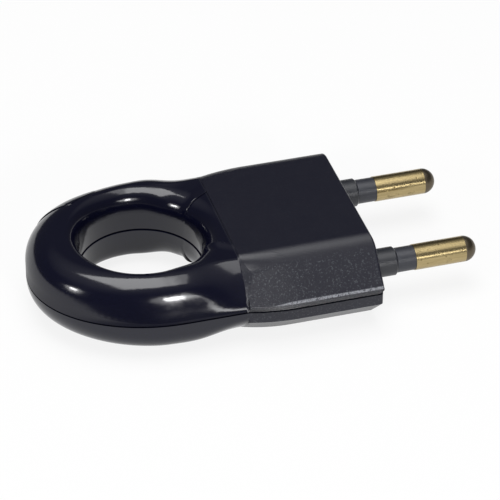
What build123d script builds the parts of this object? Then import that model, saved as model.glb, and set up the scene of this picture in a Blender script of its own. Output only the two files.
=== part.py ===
from build123d import *
import math
import os

# Two-pin plug with a finger ring, 6 A class, rewirable, in two half shells.
# Millimetres. +X runs to the pin tips, +Z is up, and the origin is the centre of the engagement face,
# on the parting plane that halves both pins.

# Pins and what surrounds them
pin_spacing = 19.0
pin_radius = 2.0
pin_tip_x = 17.2
brass_start_x = 7.2
neck_radius = 1.6
sleeve_root_radius = 1.95
sleeve_tip_radius = 1.9
collar_radius = 2.22
collar_end_x = 4.3
collar_bevel = 0.3
flange_radius = 3.2
flange_length = 1.2
head_radius = 3.0
head_length = 9.0
head_flat_z = 2.7
head_rear_rim = 0.8
head_front_rim = 1.2
wire_radius = 1.2
wire_depth = 6.5

# Body block
front_wall = 2.2
crease_x = -20.6
flare_length = 7.5
flare_steps = 5
flare_inset = 1.05
lower_flare_inset = 0.5
top_z = 6.5
bottom_z = -6.5
top_corner_y = 12.45
ridge_y = 17.7
ridge_z = 1.3
ridge_low_z = 0.95
band_y = 17.1
band_z = 0.45
lower_band_z = -1.9
bottom_corner_y = 12.3
shoulder_radius = 3.4
lower_corner_radius = 0.8
front_edge_radius = 0.35
inner_y = 15.6
inner_bend_z = 1.4
upper_floor_y = 11.8
lower_floor_y = 11.9
cavity_rear_x = -18.6

# Ring
hole_x = -33.0
hole_radius = 9.45
lower_hole_radius = 9.3
arc_centre_x = -30.05
arc_length = 20.4
arm_y = 16.05
cable_bulge = 0.5
bridge_angle = 30.0
bridge_end = 15.0
circle_handle = 0.5523
ring_angles = (195, 180, 165, 150, 135, 120, 105, 90, 78, 66, 57, 50, 43, 36, bridge_angle)
ring_reach = 60.0
arm_angle = 90.0
shoulder_angle = 76.0
crease_angle = 50.0
rear_blend = 75.0
# Each station: rim width, hole wall's end, rim height, crest height, back width, side wall's end, back handle.
# They stand at the body, at the arm's middle and at the ring's rear.
upper_stations = (
    (3.2, 2.7, 6.32, 6.4, 5.35, 0.4, 0.33),
    (2.36, 3.08, 6.6, 6.6, 4.3, 0.5, circle_handle),
    (1.8, 3.2, 6.55, 6.55, 4.4, 2.2, circle_handle),
)
lower_stations = (
    (3.0, -1.8, -5.2, -5.2, 4.3, -1.0, 0.3),
    (1.3, -3.3, -5.2, -5.2, 3.6, -2.0, circle_handle),
    (1.9, -3.3, -5.2, -5.2, 5.0, -0.4, circle_handle),
)

# Raised lip round the cable outlet, on the ring's rear left
lip_height = 0.15
lip_fade = 0.02
lip_start_y = 9.6
lip_end_x = -37.0
lip_clearance = 3.2
lip_angles = (165, 156, 147, 138, 129, 120, 111, 102, 93)

# Parting line: the shells meet on an inner land, with a fine open groove along the outside
reveal_depth = 0.7
reveal_height = 0.13

# Inside
ring_wall = 1.6
hole_wall = 1.35
ring_cavity_height = 3.5
body_cavity_z = 5.2
cable_y = 12.6
cable_width = 4.3
cable_height = 6.4
cable_start_x = -55.0
cable_bend_x = -28.0
cable_leg_end_x = -17.2
cable_leg_end_y = 8.6
clamp_x = -15.0
clamp_y = 8.0
clamp_screw_spacing = 7.0
clamp_bar_z = 0.4
clamp_bar_thickness = 1.1
clamp_bar_width = 3.4
clamp_hole_radius = 1.3
post_radius = 2.2
thread_radius = 1.5
boss_radius = 3.7
front_screw_x = -7.0
rear_screw_x = -18.9
screw_seat_z = -4.2
screw_head_radius = 2.6
screw_recess_radius = 2.8
screw_head_height = 1.9
screw_end_z = 4.0
nut_width = 5.5
nut_low_z = 0.9
nut_high_z = 3.1
terminal_screw_x = -8.2
terminal_head_radius = 2.3
terminal_head_height = 1.4
clamp_screw_radius = 1.25
clamp_head_radius = 2.1
clamp_head_height = 1.3
slot_width = 0.8
slot_depth = 0.6
screw_edge = 0.3
terminal_slot_turn = 35
clamp_slot_turn = 60
front_slot_turn = 46
rear_slot_turn = 82
rib_thickness = 1.2
rib_places = (-5.2, -11.2)
rib_half_span = 4.0
partition_end_x = -15.0
floor_overlap = 0.4
grip_places = (-16.8, -13.4)
grip_width = 0.4
grip_span = 1.3
grip_height = 0.5
tooth_half_span = 1.2
tooth_half_width = 0.5
tooth_depth = 0.6
clamp_screw_length = 4.6
clamp_screw_end_z = -3.4
terminal_screw_length = 2.2
peg_radius = 1.1
peg_top_z = 2.2
socket_radius = 2.1
peg_places = ((-46.3, 0.0), (-35.0, -12.7))

# Cutters: how far they reach past the plug, how far they overlap a face, and the gap at a blind hole's end
cut_reach = 10.0
cut_overlap = 1.0
end_gap = 0.2
tiny = 0.01


def mix(low, high, share):
    return low + (high - low) * share


def ease(share):
    share = min(max(share, 0.0), 1.0)
    return share * share * (3 - 2 * share)


def disc_prism(x, y, radius, low, high):
    return Pos(x, y, low) * extrude(Circle(radius), amount=high - low)


def box_between(x0, x1, y0, y1, z0, z1):
    return Pos((x0 + x1) / 2, (y0 + y1) / 2, (z0 + z1) / 2) * Box(x1 - x0, y1 - y0, z1 - z0)


def bar_x(x0, x1, y, radius):
    """A round bar along X on the parting plane."""
    return Pos(x0, y, 0) * (Plane.YZ * extrude(Circle(radius), amount=x1 - x0))


def outline_radius(angle, bulge):
    """Distance from the hole's axis to the ring's outer contour, at an angle from +X."""
    a = math.radians(angle)
    shift = hole_x - arc_centre_x
    qa = (math.cos(a) / arc_length) ** 2 + (math.sin(a) / arm_y) ** 2
    qb = 2 * shift * math.cos(a) / arc_length ** 2
    qc = (shift / arc_length) ** 2 - 1
    on_arc = (-qb + math.sqrt(qb * qb - 4 * qa * qc)) / (2 * qa)
    if 90 < angle < 180:
        on_arc += bulge * math.sin(2 * a) ** 2
    if hole_x + on_arc * math.cos(a) < arc_centre_x:
        return on_arc
    return arm_y / math.sin(a)


def section_face(angle, points, handles):
    """One radial section: wall, rounded rim, crest, rounded back, closed along the parting plane."""
    a = math.radians(angle)
    outwards = (math.cos(a), math.sin(a), 0)
    plane = Plane(origin=(hole_x, 0, 0), x_dir=outwards, z_dir=(math.sin(a), -math.cos(a), 0))
    foot, wall_top, crest_in, crest_out, side_top, side_foot = points
    k_in, k_out = handles
    rise_in = crest_in[1] - wall_top[1]
    rise_out = crest_out[1] - side_top[1]
    rim = Bezier(
        wall_top,
        (wall_top[0], wall_top[1] + k_in * rise_in),
        (crest_in[0] - k_in * (crest_in[0] - wall_top[0]), crest_in[1]),
        crest_in,
    )
    back = Bezier(
        crest_out,
        (crest_out[0] + k_out * (side_top[0] - crest_out[0]), crest_out[1]),
        (side_top[0], side_top[1] + k_out * rise_out),
        side_top,
    )
    edges = [
        Line(foot, wall_top),
        rim,
        Line(crest_in, crest_out),
        back,
        Line(side_top, side_foot),
        Line(side_foot, foot),
    ]
    return plane * make_face(Wire(edges))


def station_values(angle, front, middle, rear):
    """A section's sizes at an angle, eased between the body side, the arm's middle and the ring's rear."""
    to_front = ease((shoulder_angle - angle) / (shoulder_angle - crease_angle))
    to_rear = ease((min(angle, 360 - angle) - arm_angle) / rear_blend)
    return [mix(mix(m, r, to_rear), f, to_front) for f, m, r in zip(front, middle, rear)]


def ring_section(angle, radius, stations, bulge, proud=0.0):
    """A radial section of one shell's ring, as a closed face, with its back standing proud by a little."""
    rim, wall_z, rim_z, crest_z, back, side_z, back_handle = station_values(angle, *stations)
    outer = outline_radius(angle, bulge) + proud
    crest_z += math.copysign(proud, crest_z)
    slant = math.sin(math.radians(angle)) if angle < arm_angle else 1.0
    points = (
        (radius, 0),
        (radius, wall_z),
        (radius + rim, rim_z),
        (outer - back / slant, crest_z),
        (outer, side_z),
        (outer, 0),
    )
    return section_face(angle, points, (circle_handle, back_handle))


def arm(radius, stations, bulge, low, high):
    """Half of one shell's ring, lofted on the cable's side of the middle plane."""
    half = loft([ring_section(angle, radius, stations, bulge) for angle in ring_angles])
    return half & box_between(-ring_reach, 0, 0, ring_reach, low, high)


def ring(radius, stations, low, high):
    """The ring of one shell: a lofted arm on each side, and a turned bridge up to the body."""
    cable_arm = arm(radius, stations, cable_bulge, low, high)
    plain_arm = mirror(arm(radius, stations, 0, low, high), about=Plane.XZ)
    rim, wall_z, rim_z = stations[0][:3]
    bridge_rim = Bezier(
        (radius, 0, wall_z),
        (radius, 0, mix(wall_z, rim_z, circle_handle)),
        (mix(radius + rim, radius, circle_handle), 0, rim_z),
        (radius + rim, 0, rim_z),
    )
    outline = [
        Line((radius, 0, 0), (radius, 0, wall_z)),
        bridge_rim,
        Line((radius + rim, 0, rim_z), (bridge_end, 0, rim_z)),
        Line((bridge_end, 0, rim_z), (bridge_end, 0, 0)),
        Line((bridge_end, 0, 0), (radius, 0, 0)),
    ]
    profile = Rot(0, 0, -bridge_angle) * make_face(Wire(outline))
    bridge = Pos(hole_x, 0, 0) * revolve(profile, Axis.Z, revolution_arc=2 * bridge_angle)
    return cable_arm + plain_arm + bridge


def outlet_lip(radius, stations, low, high):
    """A slightly raised pad on the ring's back, where the cable comes out. It fades out along the arm."""
    sections = []
    for angle in lip_angles:
        share = (angle - lip_angles[-1]) / (lip_angles[0] - lip_angles[-1])
        proud = mix(lip_fade, lip_height, ease(share))
        sections.append(ring_section(angle, radius, stations, cable_bulge, proud))
    pad = loft(sections)
    pad &= box_between(-ring_reach, lip_end_x, lip_start_y, ring_reach, low, high)
    return pad - disc_prism(hole_x, 0, radius + lip_clearance, low, high)


def body_outline(x, upper):
    """Half of the body's cross-section at x, narrowed towards the crease by a flare."""
    share = min(max((crease_x + flare_length - x) / flare_length, 0.0), 1.0)
    inset = flare_inset * share ** 2
    if upper:
        ridge = [(ridge_y, ridge_low_z), (ridge_y, ridge_z)]
        half = [(band_y, 0), (band_y, band_z), *ridge, (top_corner_y, top_z)]
        radius = shoulder_radius
    else:
        corner_y = bottom_corner_y - lower_flare_inset * share ** 2
        half = [(band_y, 0), (band_y, lower_band_z), (corner_y, bottom_z)]
        radius = lower_corner_radius
    right = [(y - inset, z) for y, z in half]
    left = [(-y, z) for y, z in reversed(right)]
    face = make_face(Polyline(*right, *left, close=True))
    corner_z = right[-1][1]
    corners = [v for v in face.vertices() if abs(v.Y - corner_z) < tiny]
    return Pos(x, 0, 0) * (Plane.YZ * fillet(corners, radius))


def body_block(upper):
    """The block behind the pins: a flared loft at the ring end and a straight run to the engagement face."""
    flare_end = crease_x + flare_length
    places = [crease_x + flare_length * step / flare_steps for step in range(flare_steps + 1)]
    flare = loft([body_outline(x, upper) for x in places])
    straight = extrude(body_outline(flare_end, upper), amount=-flare_end, dir=(1, 0, 0))
    front_edges = straight.faces().sort_by(Axis.X)[-1].edges()
    edges = [e for e in front_edges if abs(e.center().Z) > tiny]
    return flare + fillet(edges, front_edge_radius)


def inner_section(upper):
    """The body's inner outline, a wall's thickness inside the outer one."""
    if upper:
        half = [(inner_y, 0), (inner_y, inner_bend_z), (upper_floor_y, body_cavity_z)]
    else:
        half = [(inner_y, 0), (inner_y, -inner_bend_z), (lower_floor_y, -body_cavity_z)]
    left = [(-y, z) for y, z in reversed(half)]
    return Plane.YZ * make_face(Polyline(*half, *left, close=True))


def ring_plan(inset, front_x):
    """The plan of the ring and its arms, inset from the outer contour, without the hole."""
    side = arm_y - inset
    edges = [
        EllipticalCenterArc((arc_centre_x, 0), arc_length - inset, side, start_angle=90, arc_size=180),
        Line((arc_centre_x, -side), (front_x, -side)),
        Line((front_x, -side), (front_x, side)),
        Line((front_x, side), (arc_centre_x, side)),
    ]
    return make_face(Wire(edges))


def cable_channel():
    """The flat cable's way: in at the ring's rear, through the left arm, then inwards to the clamp."""
    half = cable_width / 2
    low = -cable_height / 2
    high = cable_height / 2
    run_x = cable_leg_end_x - cable_bend_x
    run_y = cable_leg_end_y - cable_y
    length = math.hypot(run_x, run_y)
    turn = math.degrees(math.atan2(run_y, run_x))
    straight = box_between(cable_start_x, cable_bend_x, cable_y - half, cable_y + half, low, high)
    elbow = disc_prism(cable_bend_x, cable_y, half, low, high)
    leg = Pos(cable_bend_x, cable_y, 0) * Rot(0, 0, turn) * box_between(0, length, -half, half, low, high)
    return straight + elbow + leg


def ribs(low, high):
    """Cross plates that carry the pins' heads, and the wall that parts the two terminals."""
    plates = box_between(partition_end_x, -front_wall, -rib_thickness / 2, rib_thickness / 2, low, high)
    for x in rib_places:
        for side in (-1, 1):
            y = side * pin_spacing / 2
            plate = box_between(
                x - rib_thickness / 2, x + rib_thickness / 2, y - rib_half_span, y + rib_half_span, low, high
            )
            plates += plate - bar_x(x - rib_thickness, x + rib_thickness, y, head_radius)
    return plates


def screw_places():
    return (front_screw_x, rear_screw_x)


def front_bores():
    """The two round ways through the front wall, which hold the collars."""
    start = -front_wall - cut_overlap
    bores = [bar_x(start, cut_overlap, side * pin_spacing / 2, collar_radius) for side in (-1, 1)]
    return bores[0] + bores[1]


def reveal(low, high, radius):
    """The fine open groove that runs all round outside the shells' meeting land."""
    land = make_face(
        Polyline(
            (crease_x, arm_y - reveal_depth),
            (crease_x + flare_length / 2, band_y - flare_inset / 4 - reveal_depth),
            (-reveal_depth, band_y - reveal_depth),
            (-reveal_depth, reveal_depth - band_y),
            (crease_x + flare_length / 2, reveal_depth + flare_inset / 4 - band_y),
            (crease_x, reveal_depth - arm_y),
            close=True,
        )
    )
    land += ring_plan(reveal_depth, crease_x)
    land -= Pos(hole_x, 0) * Circle(radius + reveal_depth)
    slab = box_between(-ring_reach, cut_reach, -ring_reach, ring_reach, low, high)
    return slab - Pos(0, 0, -cut_reach) * extrude(land, amount=2 * cut_reach)


def upper_shell():
    """The cover: a glossy half ring that flows into the satin, hexagonal half of the body."""
    outer = ring(hole_radius, upper_stations, 0, cut_reach) + body_block(True)
    outer += outlet_lip(hole_radius, upper_stations, 0, cut_reach)
    body_cavity = Pos(cavity_rear_x, 0, 0) * extrude(inner_section(True), amount=-front_wall - cavity_rear_x)
    ring_cavity = extrude(ring_plan(ring_wall, -front_wall), amount=ring_cavity_height)
    ring_cavity -= disc_prism(hole_x, 0, hole_radius + hole_wall, -cut_overlap, cut_reach)
    cavity = body_cavity + ring_cavity - ribs(-cut_overlap, cut_reach)
    for x in screw_places():
        cavity -= disc_prism(x, 0, boss_radius, -cut_overlap, cut_reach)
    for x, y in peg_places:
        cavity -= disc_prism(x, y, socket_radius, -cut_overlap, cut_reach)
    shell = outer - cavity - cable_channel() - front_bores()
    for x in screw_places():
        shell -= disc_prism(x, 0, thread_radius, -cut_overlap, screw_end_z + end_gap)
        pocket = extrude(RegularPolygon(nut_width / 2, 6, major_radius=False), amount=nut_high_z + cut_overlap)
        shell -= Pos(x, 0, -cut_overlap) * pocket
    for x, y in peg_places:
        shell -= disc_prism(x, y, peg_radius, -cut_overlap, peg_top_z + end_gap)
    return shell - reveal(0, reveal_height, hole_radius)


def lower_shell():
    """The base: it carries the pins, the clamp's posts and both closing screws."""
    outer = ring(lower_hole_radius, lower_stations, -cut_reach, 0) + body_block(False)
    outer += outlet_lip(lower_hole_radius, lower_stations, -cut_reach, 0)
    depth = -front_wall - cavity_rear_x
    body_cavity = Pos(cavity_rear_x, 0, 0) * extrude(inner_section(False), amount=depth)
    ring_cavity = extrude(ring_plan(ring_wall, -front_wall), amount=-ring_cavity_height)
    ring_cavity -= disc_prism(hole_x, 0, lower_hole_radius + hole_wall, -cut_reach, cut_overlap)
    cavity = body_cavity + ring_cavity - ribs(-cut_reach, cut_overlap)
    for x in screw_places():
        cavity -= disc_prism(x, 0, boss_radius, -cut_reach, cut_overlap)
    shell = outer - cavity - cable_channel() - front_bores()
    for x in screw_places():
        shell -= disc_prism(x, 0, thread_radius, -cut_reach, cut_overlap)
        shell -= disc_prism(x, 0, screw_recess_radius, -cut_reach, screw_seat_z)
    shell -= reveal(-reveal_height, 0, lower_hole_radius)
    for side in (-1, 1):
        y = clamp_y + side * clamp_screw_spacing / 2
        post = disc_prism(clamp_x, y, post_radius, -body_cavity_z - floor_overlap, clamp_bar_z)
        bore = disc_prism(clamp_x, y, clamp_screw_radius, clamp_screw_end_z, clamp_bar_z + cut_overlap)
        shell += post - bore
    for x, y in peg_places:
        shell += disc_prism(x, y, peg_radius, -ring_cavity_height - floor_overlap, peg_top_z)
    for x in grip_places:
        foot_z = -body_cavity_z - floor_overlap
        crown_z = grip_height - body_cavity_z
        near_y = clamp_y - grip_span
        far_y = clamp_y + grip_span
        shell += box_between(x - grip_width, x + grip_width, near_y, far_y, foot_z, crown_z)
    return shell


def pin(side):
    """A turned brass pin: domed tip, full shank, a neck under the sleeve and a drilled terminal head."""
    head_start = -front_wall - flange_length
    rear = head_start - head_length
    dome = pin_tip_x - pin_radius
    half = pin_radius * math.sin(math.radians(45))
    edges = [
        Line((rear, 0), (rear, head_radius)),
        Line((rear, head_radius), (head_start, head_radius)),
        Line((head_start, head_radius), (head_start, neck_radius)),
        Line((head_start, neck_radius), (brass_start_x, neck_radius)),
        Line((brass_start_x, neck_radius), (brass_start_x, pin_radius)),
        Line((brass_start_x, pin_radius), (dome, pin_radius)),
        ThreePointArc((dome, pin_radius), (dome + half, half), (pin_tip_x, 0)),
        Line((pin_tip_x, 0), (rear, 0)),
    ]
    y = side * pin_spacing / 2
    body = Pos(0, y, 0) * revolve(make_face(Wire(edges)), Axis.X)
    flat_start = rear + head_rear_rim
    flat_end = head_start - head_front_rim
    body -= box_between(flat_start, flat_end, y - head_radius, y + head_radius, head_flat_z, cut_reach)
    body -= bar_x(rear - cut_overlap, rear + wire_depth, y, wire_radius)
    return body - disc_prism(terminal_screw_x, y, thread_radius, 0, cut_reach)


def sleeve_form(side):
    """The outside of one sleeve, which narrows a little towards the brass as a moulding does."""
    start = -front_wall - flange_length
    seat = (Align.CENTER, Align.CENTER, Align.MIN)
    cone = Cone(sleeve_root_radius, sleeve_tip_radius, brass_start_x - start, align=seat)
    return Pos(start, side * pin_spacing / 2, 0) * Rot(0, 90, 0) * cone


def sleeve(side):
    start = -front_wall - flange_length - cut_overlap
    return sleeve_form(side) - bar_x(start, brass_start_x + cut_overlap, side * pin_spacing / 2, neck_radius)


def collar(side):
    """A stepped bush: its flange is trapped behind the front wall and its tube stands out round the sleeve."""
    start = -front_wall - flange_length
    y = side * pin_spacing / 2
    tube = bar_x(start, collar_end_x, y, collar_radius)
    tube = chamfer(tube.edges().sort_by(Axis.X)[-1], collar_bevel)
    tube += bar_x(start, -front_wall, y, flange_radius)
    return tube - sleeve_form(side)


def slotted_screw(shank, head, head_height, length):
    """A cheese-head screw with its head's underside at z = 0 and its shank downwards."""
    top = fillet(disc_prism(0, 0, head, 0, head_height).edges().sort_by(Axis.Z)[-1], screw_edge)
    slot_floor = head_height - slot_depth
    slot = box_between(-head, head, -slot_width / 2, slot_width / 2, slot_floor, head_height + cut_overlap)
    shaft = disc_prism(0, 0, shank, -length, 0)
    shaft = chamfer(shaft.edges().sort_by(Axis.Z)[0], screw_edge)
    return top - slot + shaft


def terminal_screw(side):
    screw = slotted_screw(thread_radius, terminal_head_radius, terminal_head_height, terminal_screw_length)
    screw = Rot(0, 0, terminal_slot_turn * side) * screw
    return Pos(terminal_screw_x, side * pin_spacing / 2, head_flat_z) * screw


def clamp_screw(side):
    screw = slotted_screw(clamp_screw_radius, clamp_head_radius, clamp_head_height, clamp_screw_length)
    screw = Rot(0, 0, clamp_slot_turn * side) * screw
    z = clamp_bar_z + clamp_bar_thickness
    return Pos(clamp_x, clamp_y + side * clamp_screw_spacing / 2, z) * screw


def closing_screw(x, turn):
    screw = slotted_screw(thread_radius, screw_head_radius, screw_head_height, screw_end_z - screw_seat_z)
    return Pos(x, 0, screw_seat_z) * Rot(180, 0, turn) * screw


def closing_nut(x):
    blank = extrude(RegularPolygon(nut_width / 2, 6, major_radius=False), amount=nut_high_z - nut_low_z)
    return Pos(x, 0, nut_low_z) * blank - disc_prism(x, 0, thread_radius, 0, cut_reach)


def cord_clamp():
    """A flat bar over the cable, rounded at its ends, with a tooth that bites into the sheath."""
    plan = SlotCenterToCenter(clamp_screw_spacing, clamp_bar_width, rotation=90)
    bar = extrude(plan, amount=clamp_bar_thickness)
    half = tooth_half_width
    tooth = box_between(-half, half, -tooth_half_span, tooth_half_span, -tooth_depth, 0)
    bar = Pos(clamp_x, clamp_y, clamp_bar_z) * (bar + tooth)
    for side in (-1, 1):
        y = clamp_y + side * clamp_screw_spacing / 2
        bar -= disc_prism(clamp_x, y, clamp_hole_radius, 0, cut_reach)
    return bar


os.makedirs("parts", exist_ok=True)
nodes = {
    "upper_shell": upper_shell(),
    "lower_shell": lower_shell(),
    "cord_clamp": cord_clamp(),
}
for name, side in (("left", 1), ("right", -1)):
    nodes["pin_" + name] = pin(side)
    nodes["pin_sleeve_" + name] = sleeve(side)
    nodes["pin_collar_" + name] = collar(side)
    nodes["terminal_screw_" + name] = terminal_screw(side)
for name, side in (("outer", 1), ("inner", -1)):
    nodes["clamp_screw_" + name] = clamp_screw(side)
for name, x, turn in (("front", front_screw_x, front_slot_turn), ("rear", rear_screw_x, rear_slot_turn)):
    nodes["closing_screw_" + name] = closing_screw(x, turn)
    nodes["closing_nut_" + name] = closing_nut(x)
for name, solid in nodes.items():
    export_step(solid, "parts/" + name + ".step")
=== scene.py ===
import bpy
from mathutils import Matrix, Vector


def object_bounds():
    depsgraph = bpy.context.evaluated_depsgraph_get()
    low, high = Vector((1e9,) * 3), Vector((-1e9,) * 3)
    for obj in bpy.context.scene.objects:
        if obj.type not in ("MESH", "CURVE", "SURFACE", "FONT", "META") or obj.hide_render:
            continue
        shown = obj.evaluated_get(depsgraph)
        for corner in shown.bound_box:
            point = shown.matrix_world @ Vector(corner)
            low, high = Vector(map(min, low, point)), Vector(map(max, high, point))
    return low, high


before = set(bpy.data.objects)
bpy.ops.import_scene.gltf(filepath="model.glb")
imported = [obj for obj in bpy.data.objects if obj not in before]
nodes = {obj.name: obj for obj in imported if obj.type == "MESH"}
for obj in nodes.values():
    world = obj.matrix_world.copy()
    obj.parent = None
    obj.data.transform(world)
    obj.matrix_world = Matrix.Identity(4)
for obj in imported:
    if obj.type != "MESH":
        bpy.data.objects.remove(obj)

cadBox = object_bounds()
mm = 0.001
print("frame loaded:", len(nodes), "nodes")

# settings that many nodes share
smoothly = {"interpolation_type": "SMOOTHSTEP"}
times = {"operation": "MULTIPLY"}
timesPlus = {"operation": "MULTIPLY_ADD"}
minus = {"operation": "SUBTRACT"}
larger = {"operation": "MAXIMUM"}
inColour = {"data_type": "RGBA"}


def linear(hexCode):
    # sRGB hex to the linear colour that the shader sockets take
    values = [int(hexCode[i:i + 2], 16) / 255 for i in (1, 3, 5)]
    return tuple(v / 12.92 if v <= 0.04045 else ((v + 0.055) / 1.055) ** 2.4
                 for v in values) + (1.0,)


def newMaterial(name):
    material = bpy.data.materials.new(name)
    material.use_nodes = True
    tree = material.node_tree
    return material, tree, tree.nodes["Principled BSDF"]


def addNode(tree, kind, settings=None, **links):
    # settings go to the node and links to its inputs, where a socket is joined and a plain value is set
    # i0, i1 and so on are inputs by number, and any other name is the input's own, with _ for a space
    node = tree.nodes.new(kind)
    for key, value in (settings or {}).items():
        setattr(node, key, value)
    for key, value in links.items():
        place = int(key[1:]) if key[0] == "i" and key[1:].isdigit() else key.replace("_", " ")
        if isinstance(value, bpy.types.NodeSocket):
            tree.links.new(value, node.inputs[place])
        else:
            node.inputs[place].default_value = value
    return node


def paint(names, material):
    for name in names:
        nodes[name].data.materials.clear()
        nodes[name].data.materials.append(material)


# The half shells are black ABS, injection-moulded. The mould is polished along the ring, which gives
# clear glossy highlights, and spark-eroded on the body, which breaks the light into a fine grain.
# The finish changes on the line where the ring meets the body.
shellFinish = {
    "colour": "#0a0b1b",
    "ior": 1.50,
    "finishLine": -20.9 * mm,       # where polish meets spark erosion
    "lineSoftness": 0.15 * mm,
    "polishRoughness": 0.11,
    "polishUneven": 0.035,          # added where hands have dulled the polish
    "satinRoughness": 0.32,         # the body's top
    "flankRoughness": 0.31,         # its sloped sides
    "satinUneven": 0.08,
    "wear": 3.5 * mm,               # size of the duller patches
    "wearNoise": (0.35, 0.7),       # where the noise starts to dull the polish, and dulls it fully
    "flankStart": 12.6 * mm,        # the flat top and its round shoulder end here
    "flankFull": 13.6 * mm,
    "paintedGlintColour": "#3c3e44",       # painted glints: tips of the eroded skin that catch the light, painted in a lighter colour
    "glintSpacing": 0.30 * mm,      # real specks are nearer 0.1, drawn coarser to show
    "glintNoise": (0.53, 0.70),
    "topGlints": 0.12,              # share of the painted glints on the top, against 1 on the flanks
    "grit": 0.22 * mm,              # spark-eroded pits are nearer 0.05, drawn coarser to show
    "gritDepth": 0.022 * mm,
    "topGrit": 0.4,                 # share of that depth on the top
    "orangePeel": 5.0 * mm,         # the slow waviness of a polished moulding
    "orangePeelDepth": 0.012 * mm,
    "hairline": 0.06 * mm,          # faint handling scratches on the polish
    "hairlineLength": 2.4 * mm,
    "hairlineTurn": (0.3, 0.2, 0.7),  # in radians
    "hairlineNoise": (0.66, 0.8),
    "hairlineRoughness": 0.08,
    "ridgeHighlightColour": "#83858b",      # painted highlight along the ridge's edge on the flank, where the edge catches the light
    "ridgeHighlightNoise": (0.30, 0.58),    # breaks the painted highlight up
    "ridgeStart": 17.3 * mm,
    "ridgeFull": 17.4 * mm,
    "ridgeLow": 1.35 * mm,          # the painted ridge highlight ends here, above the lip that meets the base
    "lipSlope": 0.7,                # turns the lip's shading up, which makes it a little lighter
    "holeCentre": (-33 * mm, 0, 0),
    "leanStart": 11.5 * mm,         # from the hole's centre, so the hole's own wall doesn't lean
    "leanFull": 13.0 * mm,
    "leanHeight": 2.6 * mm,         # under about this height the ring's outer side is turned up
    "leanBlend": 2.6 * mm,
    "leanSlope": 0.40,
    "shoulderStart": 9.8 * mm,      # the shoulder away from the cable falls away before its edge
    "shoulderEnd": 13.5 * mm,
    "shoulderDrop": 1.05 * mm,
}


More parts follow.
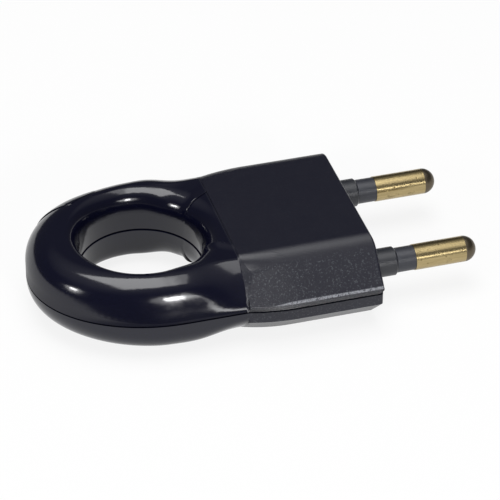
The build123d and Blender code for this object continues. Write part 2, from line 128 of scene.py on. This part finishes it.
def mouldedShell(name, look):
    material, tree, bsdf = newMaterial(name)
    place = addNode(tree, "ShaderNodeTexCoord").outputs["Object"]
    axes = addNode(tree, "ShaderNodeSeparateXYZ", Vector=place).outputs

    # the regions, each 0 to 1: body, ring, flanks, ridge and the ring's outer side
    satin = addNode(tree, "ShaderNodeMapRange", smoothly, Value=axes["X"],
                    From_Min=look["finishLine"] - look["lineSoftness"],
                    From_Max=look["finishLine"] + look["lineSoftness"]).outputs["Result"]
    ring = addNode(tree, "ShaderNodeMath", minus, i0=1.0, i1=satin).outputs[0]
    across = addNode(tree, "ShaderNodeMath", {"operation": "ABSOLUTE"}, i0=axes["Y"]).outputs[0]
    flank = addNode(tree, "ShaderNodeMapRange", smoothly, Value=across, From_Min=look["flankStart"],
                    From_Max=look["flankFull"]).outputs["Result"]
    widest = addNode(tree, "ShaderNodeMapRange", smoothly, Value=across, From_Min=look["ridgeStart"],
                     From_Max=look["ridgeFull"]).outputs["Result"]
    aboveLip = addNode(tree, "ShaderNodeMath", {"operation": "GREATER_THAN"}, i0=axes["Z"],
                       i1=look["ridgeLow"]).outputs[0]
    ridge = addNode(tree, "ShaderNodeMath", times, i0=widest, i1=aboveLip).outputs[0]
    reach = addNode(tree, "ShaderNodeVectorMath", {"operation": "DISTANCE"}, i0=place,
                    i1=look["holeCentre"]).outputs["Value"]
    awayFromHole = addNode(tree, "ShaderNodeMapRange", smoothly, Value=reach,
                           From_Min=look["leanStart"], From_Max=look["leanFull"]).outputs["Result"]
    outerSide = addNode(tree, "ShaderNodeMath", times, i0=awayFromHole, i1=ring).outputs[0]

    # the patterns: grit, slow waviness, wear, and hairlines from noise stretched along a slant
    grit = addNode(tree, "ShaderNodeTexNoise", Vector=place, Scale=1 / look["grit"], Detail=3.0,
                   Roughness=0.65).outputs["Fac"]
    peel = addNode(tree, "ShaderNodeTexNoise", Vector=place, Scale=1 / look["orangePeel"],
                   Detail=1.0).outputs["Fac"]
    wear = addNode(tree, "ShaderNodeTexNoise", Vector=place, Scale=1 / look["wear"], Detail=6.0,
                   Roughness=0.6).outputs["Fac"]
    stretch = (1 / look["hairlineLength"], 1 / look["hairline"], 1 / look["hairline"])
    slant = addNode(tree, "ShaderNodeMapping", Vector=place, Rotation=look["hairlineTurn"],
                    Scale=stretch).outputs[0]
    streaks = addNode(tree, "ShaderNodeTexNoise", Vector=slant, Scale=1.0, Detail=2.0).outputs["Fac"]
    hairs = addNode(tree, "ShaderNodeMapRange", smoothly, Value=streaks,
                    From_Min=look["hairlineNoise"][0],
                    From_Max=look["hairlineNoise"][1]).outputs["Result"]

    # painted glints: the tips of the skin that catch the light, painted lighter, thick on the flanks,
    # thin on the top and none on the ring
    dots = addNode(tree, "ShaderNodeTexNoise", Vector=place, Scale=1 / look["glintSpacing"],
                   Detail=2.0, Roughness=0.7).outputs["Fac"]
    dots = addNode(tree, "ShaderNodeMapRange", smoothly, Value=dots, From_Min=look["glintNoise"][0],
                   From_Max=look["glintNoise"][1]).outputs["Result"]
    glintShare = addNode(tree, "ShaderNodeMapRange", Value=flank, To_Min=look["topGlints"],
                         To_Max=1.0).outputs["Result"]
    paintedGlints = addNode(tree, "ShaderNodeMath", times, i0=dots, i1=glintShare).outputs[0]
    paintedGlints = addNode(tree, "ShaderNodeMath", times, i0=paintedGlints, i1=satin).outputs[0]

    # roughness: polished ring, satin top and flanks, each a little uneven
    polish = addNode(tree, "ShaderNodeMapRange", Value=wear, From_Min=look["wearNoise"][0],
                     From_Max=look["wearNoise"][1], To_Min=look["polishRoughness"],
                     To_Max=look["polishRoughness"] + look["polishUneven"]).outputs["Result"]
    polish = addNode(tree, "ShaderNodeMath", timesPlus, i0=hairs, i1=look["hairlineRoughness"],
                     i2=polish).outputs[0]
    eroded = addNode(tree, "ShaderNodeMapRange", Value=flank, To_Min=look["satinRoughness"],
                     To_Max=look["flankRoughness"]).outputs["Result"]
    eroded = addNode(tree, "ShaderNodeMath", timesPlus, i0=wear, i1=look["satinUneven"],
                     i2=eroded).outputs[0]
    rough = addNode(tree, "ShaderNodeMix", Factor=satin, i2=polish, i3=eroded).outputs[0]
    tree.links.new(rough, bsdf.inputs["Roughness"])

    # colour: painted glints on the eroded skin, and a broken painted highlight along the ridge's edge
    glintPainted = addNode(tree, "ShaderNodeMix", inColour, Factor=paintedGlints, i6=linear(look["colour"]),
                       i7=linear(look["paintedGlintColour"])).outputs[2]
    paintedRidgeHighlight = addNode(tree, "ShaderNodeMapRange", smoothly, Value=grit, From_Min=look["ridgeHighlightNoise"][0],
                     From_Max=look["ridgeHighlightNoise"][1]).outputs["Result"]
    paintedRidgeHighlight = addNode(tree, "ShaderNodeMath", times, i0=paintedRidgeHighlight, i1=ridge).outputs[0]
    paintedRidgeHighlight = addNode(tree, "ShaderNodeMath", times, i0=paintedRidgeHighlight, i1=satin).outputs[0]
    colour = addNode(tree, "ShaderNodeMix", inColour, Factor=paintedRidgeHighlight, i6=glintPainted,
                     i7=linear(look["ridgeHighlightColour"])).outputs[2]
    tree.links.new(colour, bsdf.inputs["Base Color"])

    # The bump is a chain of steps. A step that is kept to one region has that region as its strength,
    # so that it doesn't crease where the region ends. They turn the shading and move no surface.
    # First the ring's outer side turns up, as the real one is rounder there.
    below = addNode(tree, "ShaderNodeMath", minus, i0=look["leanHeight"], i1=axes["Z"]).outputs[0]
    below = addNode(tree, "ShaderNodeMath", {"operation": "SMOOTH_MAX"}, i0=below, i1=0.0,
                    i2=look["leanBlend"]).outputs[0]
    lean = addNode(tree, "ShaderNodeMath", times, i0=below, i1=look["leanSlope"]).outputs[0]
    leaning = addNode(tree, "ShaderNodeBump", Strength=outerSide, Distance=1.0, Height=lean)
    # then the body's shoulder falls away early, on the side without the cable
    shoulder = addNode(tree, "ShaderNodeMapRange", smoothly, Value=axes["Y"],
                       From_Min=-look["shoulderStart"], From_Max=-look["shoulderEnd"],
                       To_Min=look["shoulderDrop"], To_Max=0.0).outputs["Result"]
    rounded = addNode(tree, "ShaderNodeBump", Strength=satin, Distance=1.0, Height=shoulder,
                      Normal=leaning.outputs["Normal"])
    # then the lip under the ridge turns up
    underRidge = addNode(tree, "ShaderNodeMath", minus, i0=look["ridgeLow"], i1=axes["Z"]).outputs[0]
    underRidge = addNode(tree, "ShaderNodeMath", larger, i0=underRidge, i1=0.0).outputs[0]
    lip = addNode(tree, "ShaderNodeMath", times, i0=underRidge, i1=look["lipSlope"]).outputs[0]
    turned = addNode(tree, "ShaderNodeBump", Strength=satin, Distance=1.0, Height=lip,
                     Normal=rounded.outputs["Normal"])
    # last, slow waviness all over and grit on the body alone
    wave = addNode(tree, "ShaderNodeBump", Strength=1.0, Distance=look["orangePeelDepth"], Height=peel,
                   Normal=turned.outputs["Normal"])
    gritShare = addNode(tree, "ShaderNodeMapRange", Value=flank, To_Min=look["topGrit"],
                        To_Max=1.0).outputs["Result"]
    gritStrength = addNode(tree, "ShaderNodeMath", times, i0=gritShare, i1=satin).outputs[0]
    grain = addNode(tree, "ShaderNodeBump", Strength=gritStrength, Distance=look["gritDepth"],
                    Height=grit, Normal=wave.outputs["Normal"])
    tree.links.new(grain.outputs["Normal"], bsdf.inputs["Normal"])
    bsdf.inputs["IOR"].default_value = look["ior"]
    return material


# the lower half came from a duller mould, and its shading isn't turned anywhere
lowerFinish = {**shellFinish, "colour": "#0b0d1e", "polishRoughness": 0.15, "leanSlope": 0.0,
               "lipSlope": 0.0, "shoulderDrop": 0.0}

paint(["upper_shell"], mouldedShell("mouldedAbsBlack", shellFinish))
paint(["lower_shell"], mouldedShell("mouldedAbsDull", lowerFinish))
print("shells painted")


# The contact pins are brass bar, drawn and turned, then handled: lengthwise draw lines stretch the
# highlight, and a few small pits and dull patches break it. The domes get a painted dark reflection.
pinFinish = {
    "colour": "#b5a378",
    "dullColour": "#7c6e4c",
    # painted dark reflection on the domes
    "domeReflectionColour": "#5b544b",
    "pitColour": "#5d4a28",
    "roughness": 0.21,
    "dullRoughness": 0.16,          # added on the dull patches
    "domeRoughness": 0.18,         # added on the domes with the painted dark reflection
    "domeReflectionShare": 0.92,
    "domeStart": 15.15 * mm,
    "domeEdge": 0.12 * mm,
    "lineWidth": 0.12 * mm,         # draw lines, nearer 0.03 on real bar, drawn wider to show
    "lineLength": 4.0 * mm,
    "lineDepth": 0.0035 * mm,
    "lineNoise": (0.35, 0.75),
    "lineDullness": 0.5,            # the dullest lines are half as dull as a dull patch
    "patch": 1.6 * mm,              # size of the dull patches
    "patchNoise": (0.5, 0.75),
    "pitSpacing": 0.9 * mm,
    "pitEdge": (0.06, 0.15),        # a pit's floor and rim, as shares of the spacing
    "pitDepth": 0.014 * mm,
}


def drawnBrass(name, look):
    material, tree, bsdf = newMaterial(name)
    place = addNode(tree, "ShaderNodeTexCoord").outputs["Object"]
    stretch = (1 / look["lineLength"], 1 / look["lineWidth"], 1 / look["lineWidth"])
    stretched = addNode(tree, "ShaderNodeMapping", Vector=place, Scale=stretch).outputs[0]
    lines = addNode(tree, "ShaderNodeTexNoise", Vector=stretched, Scale=1.0, Detail=3.0,
                    Roughness=0.6).outputs["Fac"]
    patches = addNode(tree, "ShaderNodeTexNoise", Vector=place, Scale=1 / look["patch"], Detail=5.0,
                      Roughness=0.65).outputs["Fac"]
    pits = addNode(tree, "ShaderNodeTexVoronoi", Vector=place, Scale=1 / look["pitSpacing"],
                   Randomness=1.0).outputs["Distance"]
    pitShape = addNode(tree, "ShaderNodeMapRange", smoothly, Value=pits, From_Min=look["pitEdge"][0],
                       From_Max=look["pitEdge"][1]).outputs["Result"]
    dull = addNode(tree, "ShaderNodeMapRange", smoothly, Value=patches,
                   From_Min=look["patchNoise"][0], From_Max=look["patchNoise"][1]).outputs["Result"]
    streak = addNode(tree, "ShaderNodeMapRange", Value=lines, From_Min=look["lineNoise"][0],
                     From_Max=look["lineNoise"][1], To_Min=0.0,
                     To_Max=look["lineDullness"]).outputs["Result"]
    dullShare = addNode(tree, "ShaderNodeMath", larger, i0=dull, i1=streak).outputs[0]
    # colour: bright and dull metal, dark in the pits, a painted dark reflection on the dome
    metal = addNode(tree, "ShaderNodeMix", inColour, Factor=dullShare, i6=linear(look["colour"]),
                    i7=linear(look["dullColour"])).outputs[2]
    metal = addNode(tree, "ShaderNodeMix", inColour, Factor=pitShape, i6=linear(look["pitColour"]),
                    i7=metal).outputs[2]
    along = addNode(tree, "ShaderNodeSeparateXYZ", Vector=place).outputs["X"]
    dome = addNode(tree, "ShaderNodeMapRange", smoothly, Value=along, From_Min=look["domeStart"],
                   From_Max=look["domeStart"] + look["domeEdge"]).outputs["Result"]
    domeReflection = addNode(tree, "ShaderNodeMath", times, i0=dome, i1=look["domeReflectionShare"]).outputs[0]
    colour = addNode(tree, "ShaderNodeMix", inColour, Factor=domeReflection, i6=metal,
                     i7=linear(look["domeReflectionColour"])).outputs[2]
    tree.links.new(colour, bsdf.inputs["Base Color"])
    rough = addNode(tree, "ShaderNodeMath", timesPlus, i0=dullShare, i1=look["dullRoughness"],
                    i2=look["roughness"]).outputs[0]
    rough = addNode(tree, "ShaderNodeMath", timesPlus, i0=domeReflection, i1=look["domeRoughness"],
                    i2=rough).outputs[0]
    tree.links.new(rough, bsdf.inputs["Roughness"])
    drawn = addNode(tree, "ShaderNodeBump", Strength=1.0, Distance=look["lineDepth"], Height=lines)
    pitted = addNode(tree, "ShaderNodeBump", Strength=1.0, Distance=look["pitDepth"],
                     Height=pitShape, Normal=drawn.outputs["Normal"])
    tree.links.new(pitted.outputs["Normal"], bsdf.inputs["Normal"])
    bsdf.inputs["Metallic"].default_value = 1.0
    return material


paint(["pin_left", "pin_right", "closing_nut_front", "closing_nut_rear"],
      drawnBrass("drawnBrass", pinFinish))
print("brass painted")


# Sleeves, collars and the cord clamp are nylon from a matt mould: a soft broad sheen, faintly mottled.
# Their grain is nearer 0.05 mm and is drawn coarser to show.
sleeveFinish = {"colour": "#26282f", "pale": "#2f313a", "roughness": 0.37, "grain": 0.18 * mm,
                "grainDepth": 0.008 * mm}
collarFinish = {"colour": "#1d1f25", "pale": "#25272e", "roughness": 0.35, "grain": 0.2 * mm,
                "grainDepth": 0.008 * mm}
clampFinish = {"colour": "#22242a", "pale": "#2b2d34", "roughness": 0.45, "grain": 0.25 * mm,
               "grainDepth": 0.012 * mm}
nylon = {"ior": 1.53, "mottle": 1.4 * mm, "mottleRoughness": 0.1}


def mouldedNylon(name, look):
    material, tree, bsdf = newMaterial(name)
    place = addNode(tree, "ShaderNodeTexCoord").outputs["Object"]
    grain = addNode(tree, "ShaderNodeTexNoise", Vector=place, Scale=1 / look["grain"],
                    Detail=3.0).outputs["Fac"]
    mottle = addNode(tree, "ShaderNodeTexNoise", Vector=place, Scale=1 / nylon["mottle"],
                     Detail=4.0).outputs["Fac"]
    colour = addNode(tree, "ShaderNodeMix", inColour, Factor=mottle, i6=linear(look["colour"]),
                     i7=linear(look["pale"])).outputs[2]
    tree.links.new(colour, bsdf.inputs["Base Color"])
    rough = addNode(tree, "ShaderNodeMath", timesPlus, i0=mottle, i1=nylon["mottleRoughness"],
                    i2=look["roughness"]).outputs[0]
    tree.links.new(rough, bsdf.inputs["Roughness"])
    bump = addNode(tree, "ShaderNodeBump", Strength=1.0, Distance=look["grainDepth"], Height=grain)
    tree.links.new(bump.outputs["Normal"], bsdf.inputs["Normal"])
    bsdf.inputs["IOR"].default_value = nylon["ior"]
    return material


paint(["pin_sleeve_left", "pin_sleeve_right"], mouldedNylon("sleeveNylonGrey", sleeveFinish))
paint(["pin_collar_left", "pin_collar_right"], mouldedNylon("collarNylonGrey", collarFinish))
paint(["cord_clamp"], mouldedNylon("clampNylonBlack", clampFinish))
print("nylon painted")


# The screws are zinc-plated steel: bright zinc over cold-headed steel, with a cloudy, patchy shine.
screwFinish = {
    "colour": "#b9bcc0",
    "cloudColour": "#8d9196",
    "roughness": 0.20,
    "cloudRoughness": 0.2,          # added where the zinc is cloudy
    "cloud": 0.9 * mm,
    "scratch": 0.1 * mm,
    "scratchDepth": 0.003 * mm,
}


def zincSteel(name, look):
    material, tree, bsdf = newMaterial(name)
    place = addNode(tree, "ShaderNodeTexCoord").outputs["Object"]
    cloud = addNode(tree, "ShaderNodeTexNoise", Vector=place, Scale=1 / look["cloud"],
                    Detail=5.0).outputs["Fac"]
    fine = addNode(tree, "ShaderNodeTexNoise", Vector=place, Scale=1 / look["scratch"],
                   Detail=2.0).outputs["Fac"]
    colour = addNode(tree, "ShaderNodeMix", inColour, Factor=cloud, i6=linear(look["colour"]),
                     i7=linear(look["cloudColour"])).outputs[2]
    tree.links.new(colour, bsdf.inputs["Base Color"])
    rough = addNode(tree, "ShaderNodeMath", timesPlus, i0=cloud, i1=look["cloudRoughness"],
                    i2=look["roughness"]).outputs[0]
    tree.links.new(rough, bsdf.inputs["Roughness"])
    bump = addNode(tree, "ShaderNodeBump", Strength=1.0, Distance=look["scratchDepth"], Height=fine)
    tree.links.new(bump.outputs["Normal"], bsdf.inputs["Normal"])
    bsdf.inputs["Metallic"].default_value = 1.0
    return material


screwNames = [name for name in nodes if "_screw_" in name]
paint(screwNames, zincSteel("zincPlatedSteel", screwFinish))
print("screws painted:", len(screwNames))


# The paper sweep that the plug lies on is matt background paper. The camera, mirrors and glass see it
# nearly white by its glow, and it lights the plug and takes its shadow as plain paper.
floorLook = {"colour": "#e6e6e6", "roughness": 0.9, "size": 4.0, "glow": 0.85}


def studioFloor(look):
    bpy.ops.object.select_all(action="DESELECT")
    bpy.ops.mesh.primitive_plane_add(size=look["size"], location=(0, 0, cadBox[0][2]))
    floor = bpy.context.object
    floor.name = "studioFloor"
    material, tree, bsdf = newMaterial("paperSweep")
    bsdf.inputs["Base Color"].default_value = linear(look["colour"])
    bsdf.inputs["Roughness"].default_value = look["roughness"]
    path = addNode(tree, "ShaderNodeLightPath").outputs
    seen = addNode(tree, "ShaderNodeMath", larger, i0=path["Is Camera Ray"],
                   i1=path["Is Glossy Ray"]).outputs[0]
    seen = addNode(tree, "ShaderNodeMath", larger, i0=seen, i1=path["Is Transmission Ray"]).outputs[0]
    share = addNode(tree, "ShaderNodeMath", times, i0=seen, i1=look["glow"]).outputs[0]
    white = addNode(tree, "ShaderNodeEmission", Color=(1, 1, 1, 1), Strength=1.0).outputs[0]
    mixed = addNode(tree, "ShaderNodeMixShader", i0=share, i1=bsdf.outputs[0], i2=white).outputs[0]
    tree.links.new(mixed, tree.nodes["Material Output"].inputs["Surface"])
    floor.data.materials.append(material)


studioFloor(floorLook)

# Each lamp has its place in metres from the plug's middle, its size in metres and its power in watts.
# A halo behind a small lamp gives its highlight a soft rim, and the tail draws the front one out
# towards the pins. The softbox overhead lays the broad bands on the ring, and its edge fades them.
lamps = {
    "frontLamp": {"place": (0.04, -0.62, 0.26), "width": 0.11, "height": 0.075, "power": 1.0},
    "frontHalo": {"place": (0.041, -0.64, 0.27), "width": 0.34, "height": 0.18, "power": 0.45},
    "frontTail": {"place": (0.14, -0.62, 0.25), "width": 0.24, "height": 0.07, "power": 0.22},
    "leftLamp": {"place": (-0.70, -0.225, 0.33), "width": 0.10, "height": 0.08, "power": 0.75},
    "leftHalo": {"place": (-0.72, -0.23, 0.34), "width": 0.26, "height": 0.22, "power": 0.5},
    "overheadSoftbox": {"place": (-0.10, -0.09, 0.9), "width": 0.47, "height": 0.81, "power": 6.7,
                        "level": True},
    "overheadEdge": {"place": (0.205, -0.09, 0.9), "width": 0.14, "height": 0.81, "power": 0.85,
                     "level": True},
}
plugMiddle = Vector((-18 * mm, 0, 0))


def studioLamp(name, look):
    # a level lamp is a rectangle that faces straight down, and the others are round and face the plug
    place = Vector(look["place"])
    level = look.get("level", False)
    light = bpy.data.lights.new(name, "AREA")
    light.shape = "RECTANGLE" if level else "ELLIPSE"
    light.size = look["width"]
    light.size_y = look["height"]
    light.energy = look["power"]
    lamp = bpy.data.objects.new(name, light)
    lamp.location = plugMiddle + place
    if not level:
        lamp.rotation_euler = place.to_track_quat("Z", "Y").to_euler()
    bpy.context.scene.collection.objects.link(lamp)


for lampName, lampLook in lamps.items():
    studioLamp(lampName, lampLook)

# A dim room, lighter overhead. The camera sees white all round, and reflections see it only near the
# horizon, where the paper ends. Heights are the sine of the angle above the horizon.
roomLook = {
    "walls": 0.07,
    "ceiling": 0.5,
    "ceilingStart": 0.6,            # it brightens from here to straight up
    "whiteEnds": 0.02,              # reflections see pure white up to here
    "roomStarts": 0.12,             # and only the room from here up
}


def studioWorld(look):
    world = bpy.data.worlds.new("studioRoom")
    world.use_nodes = True
    bpy.context.scene.world = world
    tree = world.node_tree
    background = tree.nodes["Background"]
    path = addNode(tree, "ShaderNodeLightPath").outputs
    direction = addNode(tree, "ShaderNodeTexCoord").outputs["Generated"]
    height = addNode(tree, "ShaderNodeSeparateXYZ", Vector=direction).outputs["Z"]
    low = addNode(tree, "ShaderNodeMapRange", smoothly, Value=height, From_Min=look["whiteEnds"],
                  From_Max=look["roomStarts"], To_Min=1.0, To_Max=0.0).outputs["Result"]
    mirrored = addNode(tree, "ShaderNodeMath", larger, i0=path["Is Glossy Ray"],
                       i1=path["Is Transmission Ray"]).outputs[0]
    mirrored = addNode(tree, "ShaderNodeMath", times, i0=mirrored, i1=low).outputs[0]
    seen = addNode(tree, "ShaderNodeMath", larger, i0=path["Is Camera Ray"], i1=mirrored).outputs[0]
    room = addNode(tree, "ShaderNodeMapRange", Value=height, From_Min=look["ceilingStart"],
                   To_Min=look["walls"], To_Max=look["ceiling"]).outputs["Result"]
    strength = addNode(tree, "ShaderNodeMix", Factor=seen, i2=room, i3=1.0).outputs[0]
    background.inputs["Color"].default_value = (1, 1, 1, 1)
    tree.links.new(strength, background.inputs["Strength"])


studioWorld(roomLook)
print("studio set")


# the photo's camera, solved from the pins' thickness and spacing
cameraLook = {
    "target": (-18.8 * mm, 0, 0),
    "towards": (-0.2265, -0.7799, 0.5835),
    "distance": 454.5 * mm,
    "lens": 214.7,
    "sensor": 36,
    "shift": 0.038,                 # the photo's subject sits a little left of the middle
}


def photoCamera(look):
    data = bpy.data.cameras.new("photoCamera")
    data.lens = look["lens"]
    data.sensor_width = look["sensor"]
    data.shift_x = look["shift"]
    camera = bpy.data.objects.new("photoCamera", data)
    towards = Vector(look["towards"]).normalized()
    camera.location = Vector(look["target"]) + towards * look["distance"]
    camera.rotation_euler = towards.to_track_quat("Z", "Y").to_euler()
    bpy.context.scene.collection.objects.link(camera)
    bpy.context.scene.camera = camera


photoCamera(cameraLook)
bpy.context.scene.view_settings.view_transform = "Standard"
